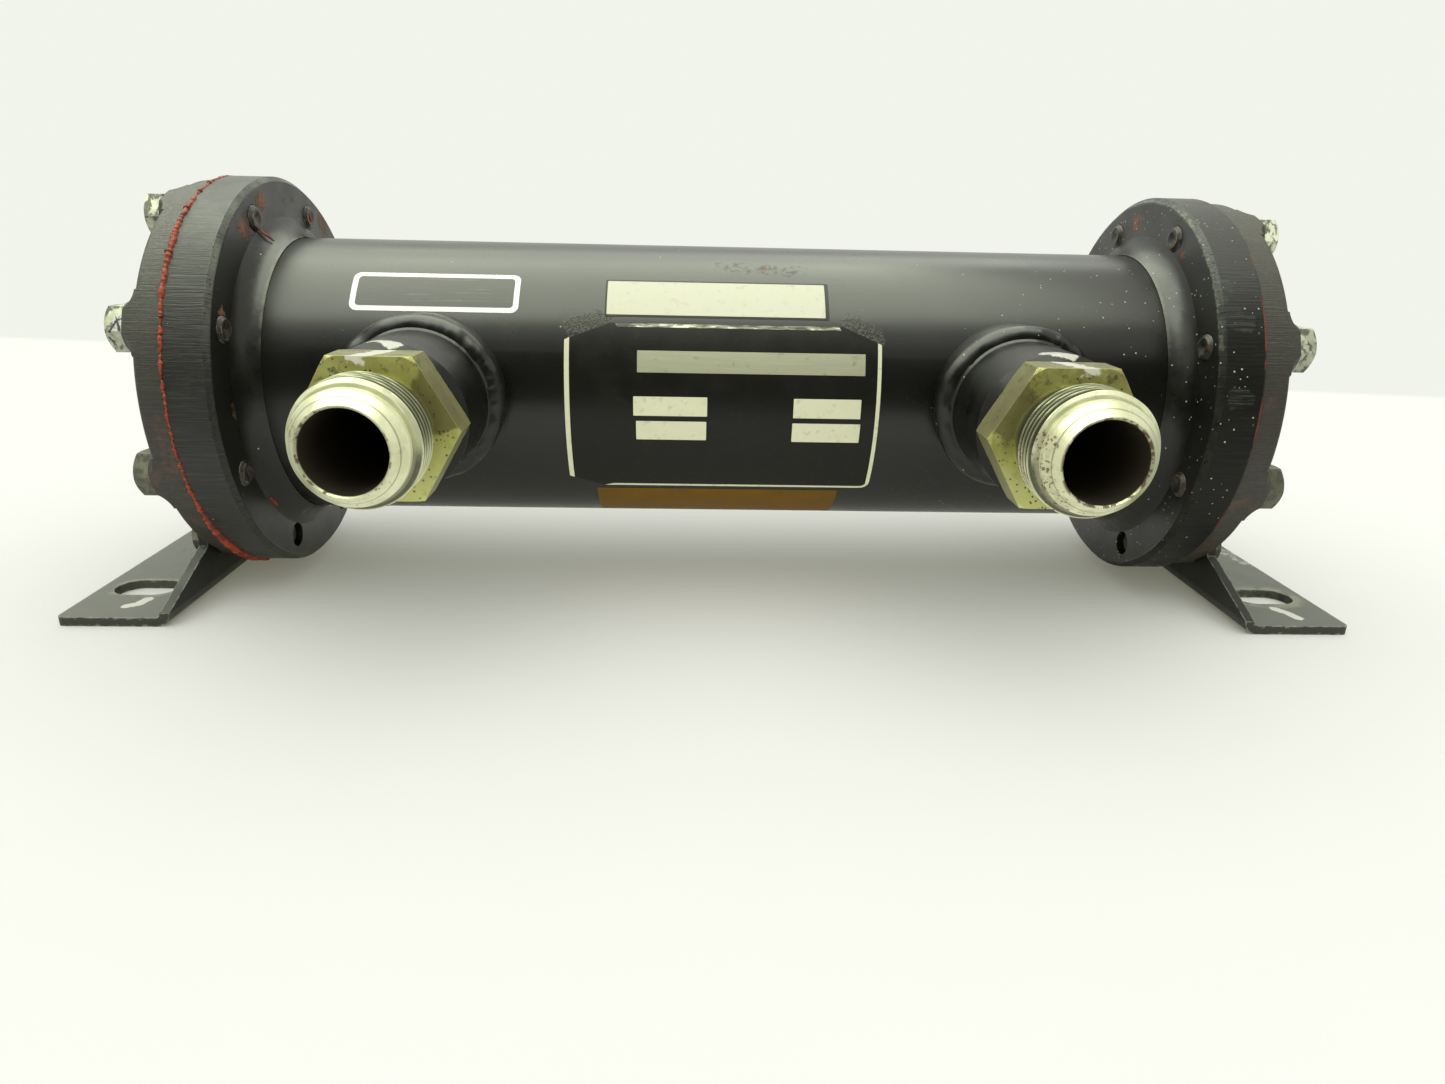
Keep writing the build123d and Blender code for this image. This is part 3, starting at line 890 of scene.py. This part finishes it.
def thread_radius(turn, reach, low, high):
    """Distance from the axis to the thread's surface, fading out at both ends."""
    phase = ((reach - low) / THREAD_PITCH - turn / 360) % 1
    flank = min(1.0, max(0.0, 1.3 * (1 - abs(2 * phase - 1)) - 0.12))
    fade = min(1.0, (reach - low) / THREAD_PITCH, 2.2 * (high - reach) / THREAD_PITCH)
    return THREAD_RADIUS - THREAD_DEPTH * max(flank, 1 - max(0.0, fade))


def make_fitting(name, side):
    """Hose fitting with a real helical thread, in place of the plain one."""
    turns = [360 / FITTING_STEPS * n for n in range(FITTING_STEPS)]
    hex_top = HEX_LOW + HEX_THICKNESS
    chamfer = math.tan(math.radians(HEX_CHAMFER_ANGLE))
    rows = []

    def plain(radius, reach):
        rows.append((reach, [radius] * FITTING_STEPS))

    def hexed(reach, limit):
        rows.append((reach, [min(hexagon_radius(turn), limit) for turn in turns]))

    plain(BORE_RADIUS, FITTING_END)
    plain(THREAD_RADIUS, FITTING_END)
    plain(THREAD_RADIUS, HEX_LOW)
    corner_rise = HEX_FLATS / math.sqrt(3) - HEX_CHAMFER_RADIUS
    rises = [corner_rise * step / HEX_CHAMFER_STEPS for step in range(HEX_CHAMFER_STEPS + 1)]
    for rise in rises:
        hexed(HEX_LOW + rise * chamfer, HEX_CHAMFER_RADIUS + rise)
    for rise in reversed(rises):
        hexed(hex_top - rise * chamfer, HEX_CHAMFER_RADIUS + rise)
    plain(RELIEF_RADIUS, hex_top)
    thread_low = hex_top + RELIEF_WIDTH
    thread_high = thread_low + THREAD_LENGTH
    plain(RELIEF_RADIUS, thread_low - 0.4 * MM)
    for step in range(THREAD_ROWS + 1):
        reach = thread_low + (thread_high - thread_low) * step / THREAD_ROWS
        rows.append((reach, [thread_radius(turn, reach, thread_low, thread_high) for turn in turns]))
    neck_top = FITTING_TIP - (NECK_RADIUS - TIP_RADIUS) / math.tan(math.radians(NOSE_ANGLE))
    plain(NECK_RADIUS - 0.5 * MM, thread_high + 0.2 * MM)
    plain(NECK_RADIUS - 0.5 * MM, thread_high + 0.8 * MM)
    plain(NECK_RADIUS, thread_high + 1.0 * MM)
    plain(NECK_RADIUS, neck_top)
    plain(NECK_RADIUS * 0.62 + TIP_RADIUS * 0.38, neck_top * 0.62 + FITTING_TIP * 0.38 + 0.05 * MM)
    plain(TIP_RADIUS, FITTING_TIP - 0.02 * MM)
    plain(BORE_RADIUS + BORE_CHAMFER * 0.7, FITTING_TIP)
    plain(BORE_RADIUS, FITTING_TIP - BORE_CHAMFER)
    rings = []
    for reach, radii in rows:
        ring = []
        for turn, radius in zip(turns, radii):
            angle = math.radians(turn)
            across, rise = radius * math.cos(angle), radius * math.sin(angle)
            ring.append((side * PORT_X + across, -reach, PORT_Z + rise))
        rings.append(ring)
    finish = "left_fitting" if side < 0 else "right_fitting"
    piece = new_piece(name, lofted(name, rings, ends=False), finish, 28)
    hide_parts(f"{'left' if side < 0 else 'right'}_hose_fitting")


def shell_front(rise):
    """How far in front of the axis the shell's surface lies, at a height above the axis."""
    return math.sqrt(SHELL_RADIUS * SHELL_RADIUS - rise * rise)


def make_port_weld(name, side):
    """Weld collar with a round rim that fills the saddle round a port boss, rippled in places."""
    rings = []
    for step in range(WELD_STEPS):
        turn = 2 * math.pi * step / WELD_STEPS
        around = Vector((math.cos(turn), math.sin(turn), 0)) * 1.4 + Vector((side * 7, 0, 0))
        patch = max(0.0, math.cos(turn - 0.75)) ** 3
        phase = turn * 46 + 5 * noise.noise(around * 2)
        strength = 0.26 * MM * patch * (0.6 + noise.noise(around * 9))
        outer = WELD_RADIUS + (0.5 * noise.noise(around) - 0.3) * MM
        level = WELD_LEVEL + (0.8 * noise.noise(around * 1.3 + Vector((0, 0, 5))) - 0.3) * MM
        low_rise = PORT_Z - AXIS_HEIGHT + (outer - WELD_TAPER) * math.sin(turn)
        boss_rise = PORT_Z - AXIS_HEIGHT + PORT_BOSS_RADIUS * math.sin(turn)
        section = [(outer - WELD_TAPER, shell_front(low_rise) - WELD_SINK)]
        for n in range(9):
            share = math.pi / 2 * n / 8
            bend = WELD_ROUND * (1 + 0.25 * math.sin(2 * share) * noise.noise(around * 3))
            ripple = strength * math.sin(phase + 0.35 * n)
            section.append((outer - WELD_ROUND + bend * math.cos(share),
                            level - WELD_ROUND + (bend + ripple) * math.sin(share)))
        section += [(PORT_BOSS_RADIUS + 0.6 * MM, level + 0.1 * MM + strength * math.sin(phase + 3.6)),
                    (PORT_BOSS_RADIUS + 0.2 * MM, level + 0.6 * MM),
                    (PORT_BOSS_RADIUS - WELD_SINK, level + 1.1 * MM),
                    (PORT_BOSS_RADIUS - WELD_SINK, shell_front(boss_rise) - WELD_SINK)]
        rings.append([(side * PORT_X + out * math.cos(turn), -forward, PORT_Z + out * math.sin(turn))
                      for out, forward in section])
    piece = new_piece(name, lofted(name, rings, ends=False), "weld", 60)
    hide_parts(f"{'left' if side < 0 else 'right'}_port_weld")


def make_sealant():
    """Silicone squeezed out along the left joint, thick and smeared near the bottom."""
    place = -(JOINT_FACE + COVER_FACE) / 2
    rings = []
    for step in range(SEALANT_STEPS):
        turn = 360 * step / SEALANT_STEPS
        around = Vector((math.cos(math.radians(turn)), math.sin(math.radians(turn)), 0))
        lumps = 0.6 * noise.noise(around * 22) + 0.9 * noise.noise(around * 75)
        lumps += 0.8 * noise.noise(around * 190)
        low_side = math.exp(-((turn - SEALANT_LOW) / 20) ** 2)
        upper = math.exp(-((turn - SEALANT_HIGH) / 24) ** 2)
        half_width = (0.42 + 0.5 * lumps + 0.55 * upper + 1.05 * low_side) * MM
        half_width = max(0.22 * MM, half_width)
        proud = (0.24 + 0.36 * lumps + 0.42 * upper + 0.6 * low_side) * MM
        middle = SHEET_RADIUS - 1.3 * MM + max(-0.2 * MM, proud)
        wander = 0.3 * noise.noise(around * 9 + Vector((4, 0, 0))) + 0.35 * noise.noise(around * 60)
        shift = (wander + 0.5 * low_side) * MM
        ring = []
        for n in range(SEALANT_SECTION):
            share = 2 * math.pi * n / SEALANT_SECTION
            radius = middle + (1.2 * MM + 0.3 * half_width) * math.sin(share)
            point = at((place + shift + half_width * math.cos(share)) / MM, turn, radius)
            point.z = min(point.z, cad_box[1][2] - 0.05 * MM)
            point.y = min(point.y, cad_box[1][1] - 0.05 * MM)
            ring.append(point)
        rings.append(ring)
    mesh = lofted("left_sealant_bead", rings, ends=False)
    new_piece("left_sealant_bead", mesh, "sealant", 80)


def make_sealant_end(name, pixels, half_width):
    """A short string of sealant stuck to the left tube sheet's face, thin at its ends."""
    points = [on_plane((across, down), 0, -SHEET_FACE + height * MM) for across, down, height in pixels]
    last = len(points) - 1
    outward = Vector((1, 0, 0))
    rings = []
    for place, point in enumerate(points):
        along = points[min(place + 1, last)] - points[max(place - 1, 0)]
        across = along.normalized().cross(outward)
        width = half_width * (0.5 if place in (0, last) else 1.0)
        turns = [math.radians(45 * step) for step in range(8)]
        rings.append([point + width * (math.cos(turn) * across + math.sin(turn) * outward)
                      for turn in turns])
    new_piece(name, lofted(name, rings), "sealant", 80)


def arc(centre, radii, angles):
    """Points about a centre at angles in degrees, as (x, arc length) in metres."""
    turns = [math.radians(angle) for angle in angles]
    return [(centre[0] + radii[0] * math.cos(turn), centre[1] + radii[1] * math.sin(turn))
            for turn in turns]


def rounded(x_low, x_high, angle_high, angle_low, corner):
    """Outline of a rectangle with round corners, as (x, arc length) points in metres."""
    corner = corner * MM
    left, right = x_low * MM + corner, x_high * MM - corner
    low = math.radians(angle_low) * SHELL_RADIUS + corner
    high = math.radians(angle_high) * SHELL_RADIUS - corner
    points = []
    for number, centre in enumerate(((right, high), (left, high), (left, low), (right, low))):
        points += arc(centre, (corner, corner), [90 * number + 22.5 * step for step in range(5)])
    return points


def wrapped(name, outlines, finish, lift=0.02, thickness=FILM):
    """A thin film bent round the shell; the first outline is its edge, the others are holes."""
    bm = bmesh.new()
    for outline in outlines:
        corners = [bm.verts.new((x, s, 0)) for x, s in outline]
        for n, corner in enumerate(corners):
            bm.edges.new((corner, corners[(n + 1) % len(corners)]))
    bmesh.ops.triangle_fill(bm, use_beauty=True, edges=bm.edges)
    low = min(s for _, s in outlines[0])
    high = max(s for _, s in outlines[0])
    strip = math.radians(2.0) * SHELL_RADIUS
    for n in range(1, int((high - low) / strip) + 1):
        geometry = bm.verts[:] + bm.edges[:] + bm.faces[:]
        bmesh.ops.bisect_plane(bm, geom=geometry, plane_co=(0, low + n * strip, 0), plane_no=(0, 1, 0))
    bmesh.ops.recalc_face_normals(bm, faces=bm.faces)
    top = bmesh.ops.extrude_face_region(bm, geom=bm.faces[:])
    raised = {item for item in top["geom"] if isinstance(item, bmesh.types.BMVert)}
    for vertex in bm.verts:
        radius = SHELL_RADIUS + (lift + (thickness if vertex in raised else 0)) * MM
        turn = vertex.co.y / SHELL_RADIUS
        vertex.co = (vertex.co.x, -radius * math.cos(turn), AXIS_HEIGHT + radius * math.sin(turn))
    bmesh.ops.recalc_face_normals(bm, faces=bm.faces)
    mesh = bpy.data.meshes.new(name)
    bm.to_mesh(mesh)
    bm.free()
    new_piece(name, mesh, finish, 40)


def on_plate(name, outline, finish):
    """A thin bare field or border on the rating plate."""
    wrapped(name, [outline], finish, PLATE_LIFT, FILM / 2)


def make_plate():
    """Rating plate with cut corners at the top and lower left and a round one lower right."""
    left, right = PLATE_SIDES[0] * MM, PLATE_SIDES[1] * MM
    scale = math.radians(1) * SHELL_RADIUS
    top, bottom = PLATE_TOP * scale, PLATE_BOTTOM * scale
    clip_x, clip_s = PLATE_CLIP[0] * MM, PLATE_CLIP[1] * scale
    line = PLATE_LINE * MM
    corner = PLATE_CORNER * MM
    centre = (right - corner, bottom + corner)
    outline = [(left, top - clip_s), (left, bottom + 0.8 * clip_s), (left + 0.8 * clip_x, bottom)]
    outline += arc(centre, (corner, corner), [270 + 22.5 * step for step in range(5)])
    outline += [(right, top - clip_s), (right - 0.85 * clip_x, top), (left + clip_x, top)]
    wrapped("rating_plate", [outline], "plate_black", thickness=PLATE_THICKNESS)
    borders = {
        "top": [(left + 1.15 * clip_x, top - 0.8 * line), (right - 0.9 * clip_x, top - 0.8 * line),
                (right - 0.95 * clip_x, top), (left + 1.1 * clip_x, top)],
        "left": [(left, top - clip_s), (left, bottom + 0.8 * clip_s),
                 (left + line, bottom + 0.7 * clip_s), (left + line, top - 0.85 * clip_s)],
        "right": [(right - 0.8 * line, top - 0.9 * clip_s), (right - 0.8 * line, bottom + corner),
                  (right, bottom + corner), (right, top - clip_s)],
        "bottom": [(left + 0.8 * clip_x, bottom), (right - corner, bottom),
                   (right - corner, bottom + 0.6 * line), (left + clip_x, bottom + 0.6 * line)],
        "corner": [(right, bottom + corner), (right - 0.8 * line, bottom + corner)]
                  + arc(centre, (2.0 * MM, 2.1 * MM), [-22.5 * step for step in (1, 2, 3, 4)])
                  + arc(centre, (corner, corner), [-22.5 * step for step in (4, 3, 2, 1)]),
    }
    for side, outline in borders.items():
        on_plate(f"plate_line_{side}", outline, "silver_worn" if side == "top" else "pale")
    for number, field in enumerate(PLATE_FIELDS):
        on_plate(f"plate_field_{number + 1}", rounded(*field, 0.2), "pale" if number else "silver")


def make_labels():
    """Labels on the shell, all without lettering."""
    wrapped("cream_label_backing", [rounded(*CREAM_BACKING, 0.3)], "plate_black", thickness=FILM / 2)
    wrapped("cream_label", [rounded(*CREAM_LABEL, 0.3)], "cream", 0.08)
    x_low, x_high, high, low = INLET_LABEL
    turn = math.degrees(INLET_LINE * MM / SHELL_RADIUS)
    field = rounded(x_low + INLET_LINE, x_high - INLET_LINE, high - turn, low + turn, 1.2)
    wrapped("port_label_line", [rounded(*INLET_LABEL, 2.4), field], "label_white")
    wrapped("port_label_field", [field], "label_dark", thickness=FILM / 2)
    wrapped("aged_strip", [rounded(*WARNING_STRIP, 0.4)], "aged_amber")


def dress_nodes():
    """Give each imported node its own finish."""
    for name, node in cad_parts.items():
        finish = next(finish for part, finish in NODE_FINISHES if part in name)
        node.data.materials.clear()
        node.data.materials.append(materials[finish])


def make_floor():
    """Pale floor that turns into the wall's tone at its far end."""
    bm = bmesh.new()
    bmesh.ops.create_grid(bm, x_segments=2, y_segments=2, size=FLOOR_HALF)
    mesh = bpy.data.meshes.new("floor")
    bm.to_mesh(mesh)
    bm.free()
    floor = add_object("floor", mesh)
    clouded("floor_white", 60, 4, (0.86, 0.865, 0.94), (0.88, 0.885, 0.96))
    distance = minus(axis(1), times(axis(0), FLOOR_END_SLOPE))
    far = ramp(distance, FLOOR_END - FLOOR_FADE, FLOOR_END + FLOOR_FADE)
    lay((0, 0, 0), far)
    mesh.materials.append(finish(0.6, specular=0.0))
    put(tree.shader.inputs["Emission Color"], mix(far, FLOOR_GLOW, WALL))
    put(tree.shader.inputs["Emission Strength"], 1.0)


def make_world():
    """Even light from all round; the camera and reflections see the wall's tone instead."""
    world = bpy.data.worlds.new("studio")
    bpy.context.scene.world = world
    world.use_nodes = True
    nodes = world.node_tree.nodes
    links = world.node_tree.links
    fill = nodes["Background"]
    seen = nodes.new("ShaderNodeBackground")
    for node, colour, level in ((fill, FILL_COLOUR, FILL_LEVEL), (seen, WALL, 1.0)):
        node.inputs[0].default_value = (*colour, 1)
        node.inputs[1].default_value = level
    path = nodes.new("ShaderNodeLightPath")
    share = path.outputs["Is Camera Ray"]
    for other in ("Is Glossy Ray", "Is Transmission Ray"):
        either = nodes.new("ShaderNodeMath")
        either.operation = "MAXIMUM"
        links.new(share, either.inputs[0])
        links.new(path.outputs[other], either.inputs[1])
        share = either.outputs[0]
    mixer = nodes.new("ShaderNodeMixShader")
    for place, output in enumerate((share, fill.outputs[0], seen.outputs[0])):
        links.new(output, mixer.inputs[place])
    links.new(mixer.outputs[0], nodes["World Output"].inputs[0])


def add_dark(name, corners):
    """A dark sheet that only reflections show."""
    mesh = bpy.data.meshes.new(name)
    mesh.from_pydata(corners, [], [(0, 1, 2, 3)])
    sheet = add_object(name, mesh)
    clouded(name, 100, 3, (0.015, 0.015, 0.015), (0.02, 0.02, 0.02))
    mesh.materials.append(finish(0.9))
    sheet.visible_camera = False
    sheet.visible_diffuse = False
    sheet.visible_shadow = False


def add_panel(name, place, size, level, colour):
    """A soft rectangular lamp that looks down, as bright as a white surface times level."""
    lamp = bpy.data.lights.new(name, "AREA")
    lamp.shape = "RECTANGLE"
    lamp.size, lamp.size_y = size
    lamp.energy = level * math.pi * size[0] * size[1]
    lamp.color = colour
    panel = add_object(name, lamp)
    panel.location = place
    panel.visible_camera = False
    return panel


def make_stage():
    """Floor, surround, dark sheets in front for the reflections, and soft light from above."""
    make_floor()
    make_world()
    left, right = -FLOOR_HALF, FLOOR_HALF
    add_dark("dark_card", ((left, CARD_PLACE, 0), (right, CARD_PLACE, 0),
                           (right, CARD_PLACE, CARD_HEIGHT), (left, CARD_PLACE, CARD_HEIGHT)))
    far_left, far_right = [MAT_END + MAT_END_SLOPE * x for x in (left, right)]
    add_dark("dark_mat", ((left, -FLOOR_HALF, MM), (right, -FLOOR_HALF, MM),
                          (right, far_right, MM), (left, far_left, MM)))
    add_panel("panel_light", *LIGHT_PANEL).visible_glossy = False
    for name, panel in (("panel_shine", SHINE_PANEL), ("panel_back", BACK_PANEL)):
        lamp = add_panel(name, *panel)
        lamp.visible_diffuse = False
        lamp.rotation_euler.z = math.radians(PANEL_TURN)


def make_camera():
    """Camera with the photograph's place, direction and lens."""
    right, up, forward = camera_axes()
    data = bpy.data.cameras.new("camera")
    data.sensor_fit = "HORIZONTAL"
    data.sensor_width = SENSOR_WIDTH
    data.lens = CAMERA_LENS
    data.clip_start = 0.01
    camera = add_object("camera", data)
    turn = Matrix((right, up, -forward)).transposed()
    camera.matrix_world = Matrix.Translation(CAMERA_PLACE) @ turn.to_4x4()
    bpy.context.scene.camera = camera


materials = {
    "shell": shell_paint(),
    "left_sheet": sheet_paint("sheet_black_left", -1),
    "right_sheet": sheet_paint("sheet_black_right", 1),
    "weld": weld_paint(),
    "cover": cover_paint(),
    "foot": foot_paint(),
    "sealant": sealant_red(),
    "gasket": gasket_edge(),
    "bolt": bolt_plating(),
    "boss": boss_paint(),
    "left_fitting": fitting_plating(-1),
    "right_fitting": fitting_plating(1),
    "copper": inner_metal("tube_copper", (0.3, 0.15, 0.08), (0.45, 0.24, 0.14)),
    "brass": inner_metal("baffle_brass", (0.3, 0.24, 0.1), (0.42, 0.34, 0.16)),
    "plate_black": printed("plate_black", (0.0085, 0.0085, 0.0068), (0.014, 0.014, 0.0112), 0.36, 0.24,
                           0.06),
    "pale": printed("plate_pale", (0.74, 0.75, 0.54), (0.84, 0.85, 0.63), 0.45, 0.3, 0.2),
    "cream": printed("label_cream", (0.78, 0.79, 0.62), (0.86, 0.87, 0.73), 0.62, 0.2, 0.12),
    "label_white": printed("label_white", (0.94, 0.93, 0.96), (0.98, 0.97, 0.99), 0.24, 0.6, 0.04),
    "label_dark": streaked_field(),
    "aged_amber": printed("label_aged", (0.125, 0.062, 0.003), (0.235, 0.12, 0.006), 0.5, 0.15, 0.3),
    "silver": brushed_silver(),
    "silver_worn": worn_silver(),
}
dress_nodes()
make_fitting("left_fitting_threaded", -1)
make_fitting("right_fitting_threaded", 1)
make_port_weld("left_port_bead", -1)
make_port_weld("right_port_bead", 1)
make_sealant()
for number, (pixels, half_width) in enumerate(SEALANT_ENDS):
    make_sealant_end(f"left_sealant_end_{number + 1}", pixels, half_width * MM)
make_plate()
make_labels()
make_stage()
make_camera()
bpy.context.scene.view_settings.view_transform = "Standard"
